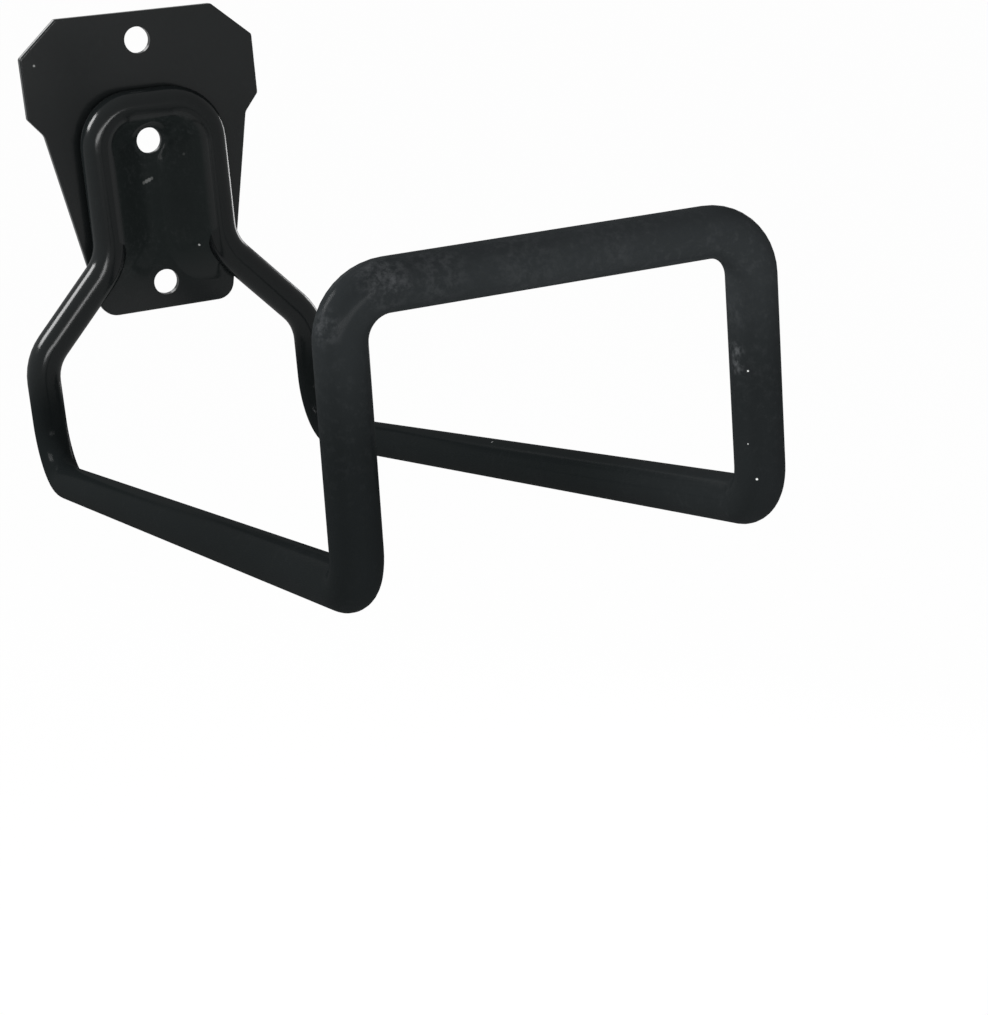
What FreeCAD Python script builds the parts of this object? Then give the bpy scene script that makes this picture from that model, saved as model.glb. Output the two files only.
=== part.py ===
"""Wall-mounted steel hanger: a flat back plate with a bent round rod welded to its front.

Millimetres, +Z up. The origin lies on the back face of the plate, at the axis of the
middle fixing hole. +X is to the right seen from the front, +Y goes into the wall, and the
arms reach out along -Y.
"""
import FreeCAD
import Part
import math
import os

V = FreeCAD.Vector

# Rod
rod_d = 10.0
arch_spacing = 34.4
arch_top_z = 11.1
splay_top_z = -33.3
splay_bottom_z = -60.8
arm_spacing = 85.1
heel_z = -97.6
reach = 282.2
arm_rise_deg = 10.65
loop_height = 55.5
loop_top_spacing = 83.1
arch_bend = 11.5
splay_bend = 16.0
heel_bend = 15.0
loop_bend = 9.5

# Plate: clipped corners, sides and shoulders are measured in and down from its top corners
plate_t = 2.5
plate_w = 70.9
plate_top_z = 38.1
clip_in = 11.75
clip_drop = 10.2
side_length = 17.6
shoulder_in = 4.35
shoulder_drop = 5.3
tongue_w = 40.9
tongue_z = -51.5
corner_r = 1.2
shoulder_r = 3.0
tongue_r = 5.5
edge_r = 0.5

# Fixing holes on the centre line: the middle one is at the origin
hole_d = 7.8
upper_hole_margin = 8.3
lower_hole_margin = 8.1

# Hollow-faced welds along the inside of the arch legs
weld_fillet = 8.0
weld_root = 1.5
weld_end_gap = 1.5

rod_r = rod_d / 2.0
arch_x = arch_spacing / 2.0
arm_x = arm_spacing / 2.0
loop_top_x = loop_top_spacing / 2.0
rod_y = -(plate_t + rod_r)
loop_low_z = heel_z + (reach + rod_y) * math.tan(math.radians(arm_rise_deg))
loop_top_z = loop_low_z + loop_height
side_x = plate_w / 2.0
side_top_z = plate_top_z - clip_drop
side_bottom_z = side_top_z - side_length
shoulder_z = side_bottom_z - shoulder_drop
upper_hole_z = plate_top_z - upper_hole_margin
lower_hole_z = tongue_z + lower_hole_margin


def bent_path(corners):
    """Straight runs joined by tangent arcs: corners are (point, bend radius)."""
    edges = []
    start = corners[0][0]
    for i in range(1, len(corners) - 1):
        point, radius = corners[i]
        back = (corners[i - 1][0] - point).normalize()
        ahead = (corners[i + 1][0] - point).normalize()
        half = back.getAngle(ahead) / 2.0
        run = radius / math.tan(half)
        first = point + back * run
        last = point + ahead * run
        bisector = (back + ahead).normalize()
        middle = point + bisector * (radius / math.sin(half) - radius)
        edges.append(Part.LineSegment(start, first).toShape())
        edges.append(Part.Arc(first, middle, last).toShape())
        start = last
    edges.append(Part.LineSegment(start, corners[-1][0]).toShape())
    return Part.Wire(edges)


def sweep(path, profile):
    """Carry a closed profile along a path and close the ends."""
    shell = Part.BRepOffsetAPI.MakePipeShell(path)
    shell.add(profile, False, False)
    shell.setFrenetMode(True)
    shell.build()
    shell.makeSolid()
    return shell.shape()


def mirrored(shape):
    """The same shape on the other side of the centre plane."""
    return shape.mirror(V(0, 0, 0), V(1, 0, 0))


def build_plate():
    """Stamped plate: clipped top corners, short sides, shoulders and a tapered tongue."""
    half = [
        (side_x - clip_in, plate_top_z, corner_r),
        (side_x, side_top_z, corner_r),
        (side_x, side_bottom_z, corner_r),
        (side_x - shoulder_in, shoulder_z, shoulder_r),
        (tongue_w / 2.0, tongue_z, tongue_r),
    ]
    left = [(-x, z, r) for x, z, r in reversed(half)]
    ring = half + left
    points = [V(x, 0, z) for x, z, r in ring]
    outline = Part.Face(Part.makePolygon(points + [points[0]]))
    blank = outline.extrude(V(0, -plate_t, 0))
    for x, z, r in ring:
        for edge in blank.Edges:
            a = edge.Vertexes[0].Point
            b = edge.Vertexes[-1].Point
            along_y = abs(a.x - b.x) < 1e-6 and abs(a.z - b.z) < 1e-6
            if along_y and abs(a.x - x) < 1e-6 and abs(a.z - z) < 1e-6:
                blank = blank.makeFillet(r, [edge])
                break
    rim = []
    for edge in blank.Edges:
        box = edge.BoundBox
        if abs(box.YMin + plate_t) < 1e-6 and abs(box.YMax + plate_t) < 1e-6:
            rim.append(edge)
    plate = blank.makeFillet(edge_r, rim)
    for z in (upper_hole_z, 0.0, lower_hole_z):
        drill = Part.makeCylinder(hole_d / 2.0, 3.0 * plate_t, V(0, plate_t, z), V(0, -1, 0))
        plate = plate.cut(drill)
    return plate


def build_rod():
    """One half of the bent rod, from the arch to the front bar, and its mirror image."""
    path = bent_path([
        (V(0, rod_y, arch_top_z), 0),
        (V(arch_x, rod_y, arch_top_z), arch_bend),
        (V(arch_x, rod_y, splay_top_z), splay_bend),
        (V(arm_x, rod_y, splay_bottom_z), splay_bend),
        (V(arm_x, rod_y, heel_z), heel_bend),
        (V(arm_x, -reach, loop_low_z), loop_bend),
        (V(loop_top_x, -reach, loop_top_z), loop_bend),
        (V(0, -reach, loop_top_z), 0),
    ])
    circle = Part.Wire(Part.makeCircle(rod_r, V(0, rod_y, arch_top_z), V(1, 0, 0)))
    half = sweep(path, circle)
    print("rod half: volume", round(half.Volume, 1), "section x length",
          round(math.pi * rod_r ** 2 * path.Length, 1), half.isValid())
    return half.fuse(mirrored(half)).removeSplitter()


def build_weld(rod):
    """Fillet weld inside the right leg of the arch, its hollow face tangent to plate and rod."""
    splay_angle = math.atan2(arm_x - arch_x, splay_top_z - splay_bottom_z)
    top_z = arch_top_z - arch_bend - weld_end_gap
    bottom_z = splay_top_z + splay_bend * math.tan(splay_angle / 2.0) + weld_end_gap
    leg = V(arch_x, rod_y, bottom_z)
    side = weld_fillet - rod_r
    across = math.sqrt((weld_fillet + rod_r) ** 2 - side ** 2)
    hollow = V(arch_x - across, -plate_t - weld_fillet, bottom_z)
    toe = V(hollow.x, -plate_t, bottom_z)
    crest = leg + (hollow - leg).normalize() * rod_r
    middle = ((toe - hollow) + (crest - hollow)).normalize()
    belly = hollow + middle * weld_fillet
    root = V(arch_x - weld_root, -plate_t, bottom_z)
    inner = V(arch_x - weld_root, crest.y, bottom_z)
    outline = Part.Wire([
        Part.LineSegment(root, toe).toShape(),
        Part.Arc(toe, belly, crest).toShape(),
        Part.LineSegment(crest, inner).toShape(),
        Part.LineSegment(inner, root).toShape(),
    ])
    bead = Part.Face(outline).extrude(V(0, 0, top_z - bottom_z))
    return bead.cut(rod)


os.makedirs("parts", exist_ok=True)
back_plate = build_plate()
rod_frame = build_rod()
weld_right = build_weld(rod_frame)
weld_left = mirrored(weld_right)
nodes = (
    ("back_plate", back_plate),
    ("rod_frame", rod_frame),
    ("weld_left", weld_left),
    ("weld_right", weld_right),
)
for name, shape in nodes:
    box = shape.BoundBox
    print(name, "solids", len(shape.Solids), "valid", shape.isValid(), "volume", round(shape.Volume, 1),
          "x", round(box.XMin, 2), round(box.XMax, 2), "y", round(box.YMin, 2), round(box.YMax, 2),
          "z", round(box.ZMin, 2), round(box.ZMax, 2))
    shape.exportStep("parts/" + name + ".step")
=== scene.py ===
# %% [markdown]
# # A black powder-coated hanger
# The real object is a flat steel plate with one long round rod welded to its front. The rod
# goes up over the plate in an arch, splays out below it, drops, runs forward in two arms and
# ends in an upright loop. The CAD model already has the true shapes, so this lesson loads it
# as a fixed frame, adds the smooth weld inside the arch, and spends most of its care on the
# coating.

# %% Load the CAD frame
import math

import bpy
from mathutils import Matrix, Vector


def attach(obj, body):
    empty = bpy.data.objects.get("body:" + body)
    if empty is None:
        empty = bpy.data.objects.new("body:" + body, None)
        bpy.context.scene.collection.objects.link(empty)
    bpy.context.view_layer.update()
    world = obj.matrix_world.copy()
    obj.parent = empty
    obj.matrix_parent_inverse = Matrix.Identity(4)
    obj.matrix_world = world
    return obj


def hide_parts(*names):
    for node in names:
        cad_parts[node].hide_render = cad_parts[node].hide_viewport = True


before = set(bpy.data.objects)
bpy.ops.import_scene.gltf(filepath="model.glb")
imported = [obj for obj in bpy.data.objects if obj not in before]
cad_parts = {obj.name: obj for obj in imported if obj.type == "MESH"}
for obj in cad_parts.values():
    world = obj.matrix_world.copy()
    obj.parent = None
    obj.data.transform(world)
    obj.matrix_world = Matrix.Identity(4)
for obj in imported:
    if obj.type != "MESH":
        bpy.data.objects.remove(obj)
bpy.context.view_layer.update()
print("CAD nodes:", sorted(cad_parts))

# %% [markdown]
# ## A short way to write shader maths
# A powder coat is built from many small masks: grain, dust, rubbed places, specks. Wiring each
# Math node by hand hides the idea, so a small class wraps an output socket and lets Python's
# own operators add the nodes. Everything that is not plain maths comes from one method.


# %% The Signal class
class Signal:
    """One output socket of a node tree: arithmetic on it adds Math nodes."""

    def __init__(self, tree, socket):
        self.tree = tree
        self.socket = socket

    @staticmethod
    def node(tree, kind, settings, sockets, output=0):
        """Add a node, fill in its settings and sockets, and return one of its outputs."""
        made = tree.nodes.new(kind)
        for name, value in settings.items():
            setattr(made, name, value)
        for name, value in sockets.items():
            if isinstance(value, Signal):
                tree.links.new(value.socket, made.inputs[name])
            else:
                made.inputs[name].default_value = value
        return Signal(tree, made.outputs[output])

    def maths(self, operation, *values):
        return Signal.node(self.tree, "ShaderNodeMath", {"operation": operation},
                           dict(enumerate(values)))

    def __add__(self, other):
        return self.maths("ADD", self, other)

    def __sub__(self, other):
        return self.maths("SUBTRACT", self, other)

    def __rsub__(self, other):
        return self.maths("SUBTRACT", other, self)

    def __mul__(self, other):
        return self.maths("MULTIPLY", self, other)

    def most(self, other):
        return self.maths("MAXIMUM", self, other)

    def unsigned(self):
        return self.maths("ABSOLUTE", self)

    def step(self, low, high):
        """0 below low, 1 above high, and a soft rise between; low may be the larger one."""
        first, last = (0.0, 1.0) if low < high else (1.0, 0.0)
        return Signal.node(self.tree, "ShaderNodeMapRange", {"interpolation_type": "SMOOTHSTEP"},
                           {"Value": self, "From Min": min(low, high), "From Max": max(low, high),
                            "To Min": first, "To Max": last})


print("Signal is ready")

# %% [markdown]
# ## The powder coat
# Black polyester powder is sprayed on dry and baked. It leaves a fine orange-peel skin over a
# very dark, slightly cool black, and a thin glossy top. Where the hanger is handled the gloss
# is rubbed dull and a little pale dust sticks. One function makes the coat for every piece, so
# that plate, rod and weld match, and each piece hands in the places of its own marks and of the
# light that is painted into its colour.

# %% Noise, place and colour helpers
MM = 0.001


def noise(tree, place, scale, detail=2.0, roughness=0.5):
    """Soft random field, scale in lumps per metre."""
    return Signal.node(tree, "ShaderNodeTexNoise", {"noise_dimensions": "3D"},
                       {"Vector": place, "Scale": scale, "Detail": detail,
                        "Roughness": roughness}, "Fac")


def axis(tree, place, letter):
    """One of the object's own coordinates, X, Y or Z, in metres."""
    return Signal.node(tree, "ShaderNodeSeparateXYZ", {}, {"Vector": place}, letter)


def distance_to(tree, place, point):
    """Distance in metres from a point given in millimetres."""
    return Signal.node(tree, "ShaderNodeVectorMath", {"operation": "DISTANCE"},
                       {0: place, 1: Vector(point) * MM}, "Value")


def mix_colour(tree, mask, first, second):
    """Blend two colours by a mask."""
    return Signal.node(tree, "ShaderNodeMix", {"data_type": "RGBA"},
                       {0: mask, 6: first, 7: second}, 2)


print("noise, place and colour helpers are ready")

# %% The coat itself
BLACK = (0.0050, 0.0061, 0.0063, 1.0)
# next: the rubbed loop's paler black, which also carries painted light from above on its upper bar
RUBBED_AND_TOP_LIT = (0.0172, 0.0194, 0.0206, 1.0)
# next: a paler black for inside the arch, painted fill light that keeps the field as bright as the
# plate around it and hides the shade between rod and plate
ARCH_FILL_LIT = (0.0100, 0.0123, 0.0122, 1.0)
DUST = (0.060, 0.063, 0.066, 1.0)
SPECK = (0.60, 0.61, 0.60, 1.0)
CLOUDS, MOTTLING, ORANGE_PEEL = 55.0, 650.0, 750.0  # lumps per metre


def powder_coat(name, wear_and_light, smudges=(), specks=(), paler=RUBBED_AND_TOP_LIT, shine=0.38):
    """Black powder coat; the mask function gives two masks, where the gloss is gone and where the
    base is paler, from rubbing and from painted light.
    """
    material = bpy.data.materials.new(name)
    material.use_nodes = True
    tree = material.node_tree
    shader = tree.nodes["Principled BSDF"]
    place = Signal.node(tree, "ShaderNodeTexCoord", {}, {}, "Object")
    cloud = noise(tree, place, CLOUDS, 3.0)
    mottle = noise(tree, place, MOTTLING, 5.0, 0.70)
    dull, pale = wear_and_light(tree, place)
    # dust gathers more where the base is paler, so it partly follows the painted light as well
    dust = mottle.step(0.46, 0.75) * cloud.step(0.35, 0.65) * (pale * 0.16 + 0.03)
    for point, radius, amount in smudges:
        patch = distance_to(tree, place, point).step(radius * MM, 0.1 * radius * MM)
        dust = dust.most(patch * mottle.step(0.38, 0.70) * amount)
    # the paler base: rubbing on the loop, painted light from above on its top, and painted fill
    # light inside the arch
    colour = mix_colour(tree, pale * (cloud * 0.5 + 0.75), BLACK, paler)
    colour = mix_colour(tree, dust, colour, DUST)
    for point, radius, amount in specks:
        dot = distance_to(tree, place, point).step(1.2 * radius * MM, 0.7 * radius * MM)
        colour = mix_colour(tree, dot * amount, colour, SPECK)
    rough = dull * 0.15 + (cloud - 0.5) * 0.10 + dust * 0.25 + 0.42
    gloss = (1.0 - dull) * (shine - cloud * 0.07) + 0.02 - dust * 0.01
    peel = noise(tree, place, ORANGE_PEEL, 2.0)
    bump = Signal.node(tree, "ShaderNodeBump", {},
                       {"Strength": 0.12, "Distance": 0.0003, "Height": peel}, "Normal")
    tree.links.new(colour.socket, shader.inputs["Base Color"])
    tree.links.new(rough.socket, shader.inputs["Roughness"])
    tree.links.new(gloss.socket, shader.inputs["Coat Weight"])
    tree.links.new(bump.socket, shader.inputs["Normal"])
    shader.inputs["Specular IOR Level"].default_value = 0.0
    shader.inputs["Coat Roughness"].default_value = 0.17
    print(name, "nodes:", len(tree.nodes))
    return material


print("coat colours, linear:", BLACK[:3], RUBBED_AND_TOP_LIT[:3], ARCH_FILL_LIT[:3])

# %% [markdown]
# ## Where the coat is worn, and where light is painted in
# The plate and the rear of the rod are a semi-gloss black. The uprights, the arms and the
# front loop, which are touched most, are rubbed dull, and the loop is also rubbed paler. Up
# towards its upper bar the loop is paler still, which is painted light from above, and it is
# paler towards its right. Inside the arch the steel was dressed smooth; there plate and weld are
# dulled and share a paler base, painted fill light that keeps the field as bright as the plate
# around it and hides the shade in the angle between rod and plate. They share one mask there,
# so that no line shows where one ends. All the changes are gradual,
# so the masks follow the object's own axes: X to the right, Y into the wall, Z up.

# %% Masks for plate, rod and weld
DRESSED_DULL = 0.92


def inside_the_arch(tree, place):
    """1 inside the arch, fading out towards the lower hole, on whichever piece lies there."""
    height = axis(tree, place, "Z")
    between_legs = axis(tree, place, "X").unsigned().step(0.0175, 0.0165)
    where_legs_splay = height.step(-0.030, -0.036)
    under_the_top = height.step(0.0115, 0.0105)
    return between_legs.most(where_legs_splay) * under_the_top * height.step(-0.050, -0.032)


def plate_wear_and_fill_light(tree, place):
    """Dull inside the arch, with a paler base of painted fill light there; dull on the back, and
    hardly rubbed elsewhere.
    """
    rubbed = noise(tree, place, 30.0, 2.0).step(0.55, 0.85)
    depth = axis(tree, place, "Y")
    # inside the arch the coat is dulled, and its base is paler as painted fill light
    dressed_and_fill_lit = inside_the_arch(tree, place) * depth.step(-0.0010, -0.0018)
    back = depth.step(-0.0008, -0.0002)
    dull = (dressed_and_fill_lit * DRESSED_DULL).most(back * 0.85).most(rubbed * 0.10)
    return dull, dressed_and_fill_lit.most(rubbed * 0.05)


def rod_wear_and_top_light(tree, place):
    """Dull from the uprights on, and the loop paler: rubbed, with painted light from above on its
    top, and paler to the right.
    """
    depth = axis(tree, place, "Y")
    height = axis(tree, place, "Z")
    side = axis(tree, place, "X")
    # painted light from above: the loop is paler up towards its upper bar; the side term makes it
    # paler to the right, the rest is rubbing
    wear_and_top_light = height.step(-0.022, 0.006) * 0.65 + side.step(-0.04, 0.04) * 0.25 + 0.15
    dull = depth.step(-0.016, -0.055).most(height.step(-0.060, -0.076))
    return dull, depth.step(-0.20, -0.275) * wear_and_top_light


def weld_dull_and_fill_light(tree, place):
    """Dull inside the arch like the plate, with its paler base of painted fill light, and glossy
    again near the rod's front line.
    """
    depth = axis(tree, place, "Y")
    # inside the arch the coat is dulled, and its base is paler as painted fill light
    dressed_and_fill_lit = inside_the_arch(tree, place) * depth.step(-0.0119, -0.0105)
    return dressed_and_fill_lit * DRESSED_DULL, dressed_and_fill_lit


print("masks are ready, dressed places are dull by", DRESSED_DULL)

# %% [markdown]
# ## Smudges, specks and a scratch
# Use has left grey smudges on the loop, a few white specks of dust, and one short pale scratch
# on the weld. They sit at known places, so each is a point on the surface with a radius and a
# strength, and the coat fades it in by distance. The scratch is a short row of faint specks.

# %% Places of the marks: point and radius in millimetres, and strength
rod_smudges = [
    ((-46.0, -285.0, 4.5), 5.0, 0.60),
    ((-34.0, -286.3, 11.6), 7.5, 0.60),
    ((-24.0, -286.3, 11.8), 9.0, 0.30),
    ((-7.0, -286.3, 11.6), 12.0, 0.20),
    ((9.0, -286.3, 11.4), 12.0, 0.16),
    ((37.1, -283.4, -13.8), 2.8, 0.85),
    ((37.1, -283.4, -16.8), 2.4, 0.90),
    ((37.0, -283.6, -6.0), 6.0, 0.20),
]
rod_specks = [
    ((39.46, -285.96, -39.46), 0.27, 1.0),
    ((-44.90, -285.64, -41.92), 0.22, 0.9),
    ((38.39, -285.60, -17.62), 0.20, 0.8),
    ((38.22, -285.06, -32.32), 0.16, 0.5),
    ((41.03, -152.33, -65.52), 0.35, 0.25),
]
plate_specks = [
    ((-31.46, -2.5, 25.65), 0.34, 0.35),
]
weld_specks = [
    ((8.87, -6.93, -4.68), 0.45, 0.04),
    ((10.45, -6.72, -32.74), 0.38, 0.45),
    ((-3.48, -3.11, -12.25), 0.55, 0.10),
    ((-2.54, -2.76, -11.96), 0.60, 0.16),
    ((-1.60, -2.55, -11.66), 0.60, 0.16),
    ((-0.74, -2.52, -11.32), 0.50, 0.10),
]
print("smudges:", len(rod_smudges), "specks:", len(rod_specks + plate_specks + weld_specks))

# %% Coats for plate, rod and weld
# plate and weld take the arch's painted fill light as their paler colour
plate_coat = powder_coat("plate_coat", plate_wear_and_fill_light, specks=plate_specks, paler=ARCH_FILL_LIT)
rod_coat = powder_coat("rod_coat", rod_wear_and_top_light, rod_smudges, rod_specks, shine=0.26)
weld_coat = powder_coat("weld_coat", weld_dull_and_fill_light, specks=weld_specks, paler=ARCH_FILL_LIT)
for node, coat in (("back_plate", plate_coat), ("rod_frame", rod_coat)):
    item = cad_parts[node]
    for slot in item.material_slots:
        slot.material = coat
    print(node, "slots:", len(item.material_slots))

# %% [markdown]
# ## The weld inside the arch
# Inside the arch no corner shows between rod and plate: a wide weld fills the angle and is
# dressed smooth. It leaves the rod near its front line, eases out flat on the plate, is broad
# along the legs and short under the top, and thins out where the rod splays away. A section
# that changes along a bent path is hard to extrude, so a fine flat grid is laid on the plate
# and each point is lifted by its distance from the rod. Then the sheet is given a flat back.

# %% The rod's centre line inside the arch, right half, in millimetres
ROD_R = 5.0
PLATE_FACE = -2.5
ARCH_TOP = 11.1
LEG_X = 17.2
BEND_R, BEND_X, BEND_Z = 11.5, 5.7, -0.4
SPLAY_R, SPLAY_X, SPLAY_Z = 16.0, 33.2, -27.05
SLOPE_X, SLOPE_Z = 21.44, -37.9
SLOPE_OUT, SLOPE_DOWN = 0.678, 0.735

arch = [(0.25 * i, ARCH_TOP) for i in range(23)]
arch += [(BEND_X + BEND_R * math.sin(a), BEND_Z + BEND_R * math.cos(a))
         for a in (math.radians(3.0 * i) for i in range(31))]
arch += [(LEG_X, BEND_Z - 0.5 * i) for i in range(1, 54)]
arch += [(SPLAY_X - SPLAY_R * math.cos(a), SPLAY_Z - SPLAY_R * math.sin(a))
         for a in (math.radians(1.5 * i) for i in range(29))]
arch += [(SLOPE_X + SLOPE_OUT * 0.5 * i, SLOPE_Z - SLOPE_DOWN * 0.5 * i) for i in range(1, 16)]
print("points along the half arch:", len(arch))


# %% Distance from the rod
def ease(value, low, high):
    """0 at low, 1 at high, soft between."""
    t = min(1.0, max(0.0, (value - low) / (high - low)))
    return t * t * (3.0 - 2.0 * t)


def rod_distance(x, z):
    """Distance in the plate's plane from the rod's centre line, negative outside the arch."""
    px, pz = min(arch, key=lambda point: math.hypot(abs(x) - point[0], z - point[1]))
    away = math.hypot(abs(x) - px, z - pz)
    return away if px - abs(x) + pz - z >= 0.0 else -away


print("from the middle hole to the rod:", round(rod_distance(0.0, 0.0), 2), "mm")

# %% How high the weld stands at a place on the plate, in millimetres
LEAVE = math.radians(30.0)
START = ROD_R * math.sin(LEAVE)
TOE, TOE_SHORTER = 16.2, 4.8  # toe to centre line along the legs, and less under the top
TONGUE_HALF, TONGUE_END, TONGUE_TAPER = 20.45, -51.5, 0.1885
THIN_FROM, THIN_TO = 27.0, 46.0  # below the middle hole
SEAT_IN, SEAT_OUT = 3.6, 6.8  # flat ring around the middle hole
LIFT, SINK = 0.07, 0.04  # clear of the plate's face, and under it at the rim


def weld_height(x, z):
    """Height over the plate, off the rod at a tangent and flat at the toe, and the distance."""
    away = rod_distance(x, z)
    run = TOE - TOE_SHORTER * ease(z, -8.0, 8.0) - START
    edge = TONGUE_HALF + TONGUE_TAPER * (z - TONGUE_END)
    if away < START:
        height = ROD_R + math.sqrt(max(ROD_R * ROD_R - away * away, 0.0))
        height -= 0.1 * (START - away) ** 2
    else:
        s = min((away - START) / run, 1.0)
        height = ROD_R * (1.0 + math.cos(LEAVE)) * (2.0 * s ** 3 - 3.0 * s ** 2 + 1.0)
        height -= math.tan(LEAVE) * run * (s ** 3 - 2.0 * s ** 2 + s)
    thin = (1.0 - ease(-z, THIN_FROM, THIN_TO)) * (1.0 - ease(abs(x), edge - 7.0, edge - 1.5))
    thin *= ease(math.hypot(x, z), SEAT_IN, SEAT_OUT)
    return (height + LIFT) * thin - SINK, away


print("weld height beside the leg:", round(weld_height(12.3, -15.0)[0], 2), "mm")

# %% Lay the grid and lift it
SHEET_W, SHEET_H, SHEET_Z = 42.0, 61.0, -20.3
ROD_OVERLAP = 1.2

bpy.ops.object.select_all(action="DESELECT")
bpy.ops.mesh.primitive_grid_add(x_subdivisions=108, y_subdivisions=160, size=1.0,
                                location=(0, 0, 0))
weld = bpy.context.object
weld.name = "arch_weld"
weld.scale = (SHEET_W * MM, SHEET_H * MM, 1.0)
weld.rotation_euler = (math.radians(90.0), 0.0, 0.0)
weld.location = (0.0, PLATE_FACE * MM, SHEET_Z * MM)
bpy.ops.object.transform_apply(location=True, rotation=True, scale=True)
keep = []
for vertex in weld.data.vertices:
    height, away = weld_height(vertex.co.x / MM, vertex.co.z / MM)
    keep.append(height > 0.0 and away > START - ROD_OVERLAP)
    vertex.co.y = (PLATE_FACE - height) * MM
print("grid points lifted:", sum(keep), "of", len(keep))

# %% Drop what is flat or inside the rod, and close the back
WELD_BACK = -2.2

bpy.ops.object.mode_set(mode="EDIT")
bpy.ops.mesh.select_mode(type="FACE")
bpy.ops.object.mode_set(mode="OBJECT")
for face in weld.data.polygons:
    face.select = not any(keep[i] for i in face.vertices)
bpy.ops.object.mode_set(mode="EDIT")
bpy.ops.mesh.delete(type="FACE")
bpy.ops.mesh.select_all(action="SELECT")
bpy.ops.mesh.extrude_region_move(TRANSFORM_OT_translate={"value": (0.0, 0.0, 0.0)})
bpy.ops.transform.resize(value=(1.0, 0.0, 1.0), center_override=(0.0, WELD_BACK * MM, 0.0))
bpy.ops.mesh.select_all(action="SELECT")
bpy.ops.mesh.normals_make_consistent(inside=False)
bpy.ops.object.mode_set(mode="OBJECT")
print("weld faces:", len(weld.data.polygons))

# %% Drill the middle fixing hole through the weld
HOLE_R = 3.9

bpy.ops.object.select_all(action="DESELECT")
bpy.ops.mesh.primitive_cylinder_add(vertices=96, radius=HOLE_R * MM, depth=30.0 * MM,
                                    rotation=(math.radians(90.0), 0.0, 0.0))
drill = bpy.context.object
bpy.ops.object.select_all(action="DESELECT")
weld.select_set(True)
bpy.context.view_layer.objects.active = weld
cut = weld.modifiers.new("middle_hole", "BOOLEAN")
cut.operation = "DIFFERENCE"
cut.object = drill
bpy.ops.object.modifier_apply(modifier=cut.name)
bpy.data.objects.remove(drill)
print("weld faces with the hole:", len(weld.data.polygons))

# %% Smooth and coat the weld, and put it in the CAD welds' place
bpy.ops.object.shade_smooth_by_angle(angle=math.radians(40.0))
weld.data.materials.clear()
weld.data.materials.append(weld_coat)
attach(weld, "root")
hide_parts("weld_left", "weld_right")
print(weld.name, "has the coat", weld.data.materials[0].name)

# %% [markdown]
# ## Camera
# The camera stands to the left of the hanger and a little above it, close enough for the front
# loop to look much larger than the plate. Its place and lens come from matching the drawn
# edges of the CAD model with the photograph.

# %% Camera
lens = bpy.data.cameras.new("camera")
lens.sensor_width = 36.0
lens.lens = 72.957
camera = bpy.data.objects.new("camera", lens)
camera.location = (-0.15593, -0.61529, 0.08691)
camera.rotation_euler = (1.243989, 0.068872, -0.424155)
bpy.context.collection.objects.link(camera)
bpy.context.scene.camera = camera
print("lens, mm:", lens.lens)

# %% [markdown]
# ## Lamps
# The highlights on the rod tell where the studio lamps stood: one close to the camera, which
# draws a line along the middle of the sloping rods, one up on the left and a little behind
# the plate, which draws the thin line along its upper left edges, one on the right for the
# outer line of the right leg, and one far behind that lights the walls of the holes. Panels
# are used because their soft edges suit the broad highlights of a powder coat.


# %% Lamps
def lamp(name, place, target, width, height, power):
    """Soft panel lamp turned towards a target, all in metres."""
    light = bpy.data.lights.new(name, "AREA")
    light.shape = "RECTANGLE"
    light.size = width
    light.size_y = height
    light.energy = power
    item = bpy.data.objects.new(name, light)
    item.location = place
    item.rotation_euler = (Vector(target) - Vector(place)).to_track_quat("-Z", "Y").to_euler()
    bpy.context.collection.objects.link(item)
    print(name, "power, W:", power)


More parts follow.
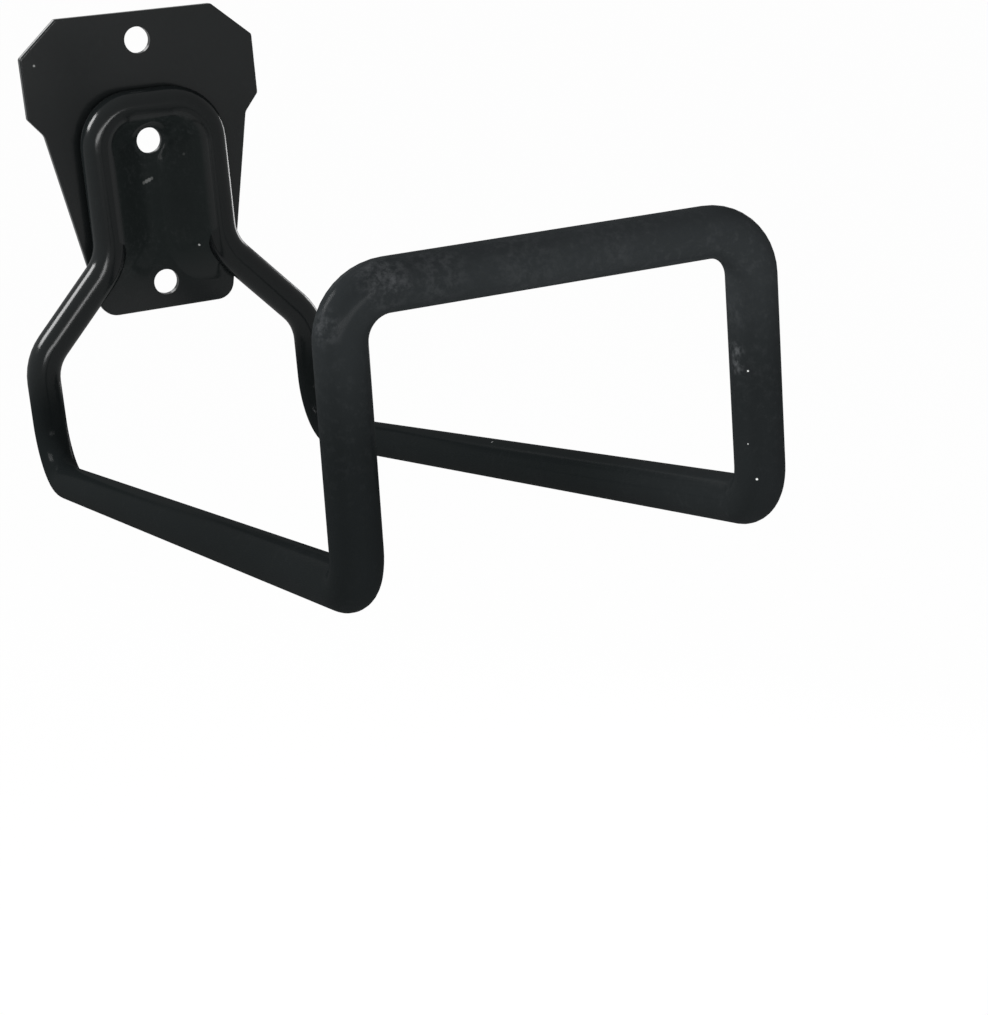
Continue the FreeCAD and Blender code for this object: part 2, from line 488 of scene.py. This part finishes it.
lamp("lamp_camera", (-0.1875, -0.959, 0.073), (-0.03, -0.01, -0.047), 0.60, 0.15, 6.0)
lamp("lamp_upper_left", (-0.470, 0.109, 0.344), (-0.03, -0.01, -0.03), 0.24, 0.24, 7.5)
lamp("lamp_behind", (-0.13, 0.91, 0.40), (0.0, 0.0, 0.0), 0.40, 0.40, 2.0)
lamp("lamp_right", (0.55, 0.40, -0.08), (0.02, -0.01, -0.02), 0.20, 0.32, 2.5)

# %% [markdown]
# ## A white room
# The hanger is seen against plain white. A white world gives that, but at full strength it
# would also flood the black coat with light, so it is full only where it is seen, straight or
# as a reflection, and weaker where it only lights things. The floor is done in the same way:
# pale paper that shows almost white to the eye.

# %% World
ROOM_LIGHT = 0.45


def where_seen(tree):
    """1 for rays that show a thing to the eye: straight, mirrored or passed through."""
    path = tree.nodes.new("ShaderNodeLightPath")
    camera_ray, glossy_ray, passed_ray = (
        Signal(tree, path.outputs[name])
        for name in ("Is Camera Ray", "Is Glossy Ray", "Is Transmission Ray"))
    return camera_ray.most(glossy_ray).most(passed_ray)


scene = bpy.context.scene
scene.view_settings.view_transform = "Standard"
world = bpy.data.worlds.new("white_room")
scene.world = world
world.use_nodes = True
sky = world.node_tree
strength = where_seen(sky) * (1.0 - ROOM_LIGHT) + ROOM_LIGHT
sky.links.new(strength.socket, sky.nodes["Background"].inputs["Strength"])
sky.nodes["Background"].inputs["Color"].default_value = (1.0, 1.0, 1.0, 1.0)
print("room light where it is not seen:", ROOM_LIGHT)

# %% Floor
FLOOR_Z = -0.45
FLOOR_GLOW = 0.975

bpy.ops.object.select_all(action="DESELECT")
bpy.ops.mesh.primitive_plane_add(size=30.0, location=(0.0, 0.0, FLOOR_Z))
floor = bpy.context.object
floor.name = "floor"
paper = bpy.data.materials.new("pale_floor")
paper.use_nodes = True
sheet = paper.node_tree
matt = sheet.nodes["Principled BSDF"]
matt.inputs["Base Color"].default_value = (0.82, 0.82, 0.81, 1.0)
matt.inputs["Roughness"].default_value = 0.8
glow = Signal.node(sheet, "ShaderNodeEmission", {}, {"Strength": 1.0})
blend = Signal.node(sheet, "ShaderNodeMixShader", {},
                    {0: where_seen(sheet) * FLOOR_GLOW, 1: Signal(sheet, matt.outputs[0]), 2: glow})
sheet.links.new(blend.socket, sheet.nodes["Material Output"].inputs["Surface"])
floor.data.materials.append(paper)
print("floor at z, m:", floor.location.z)
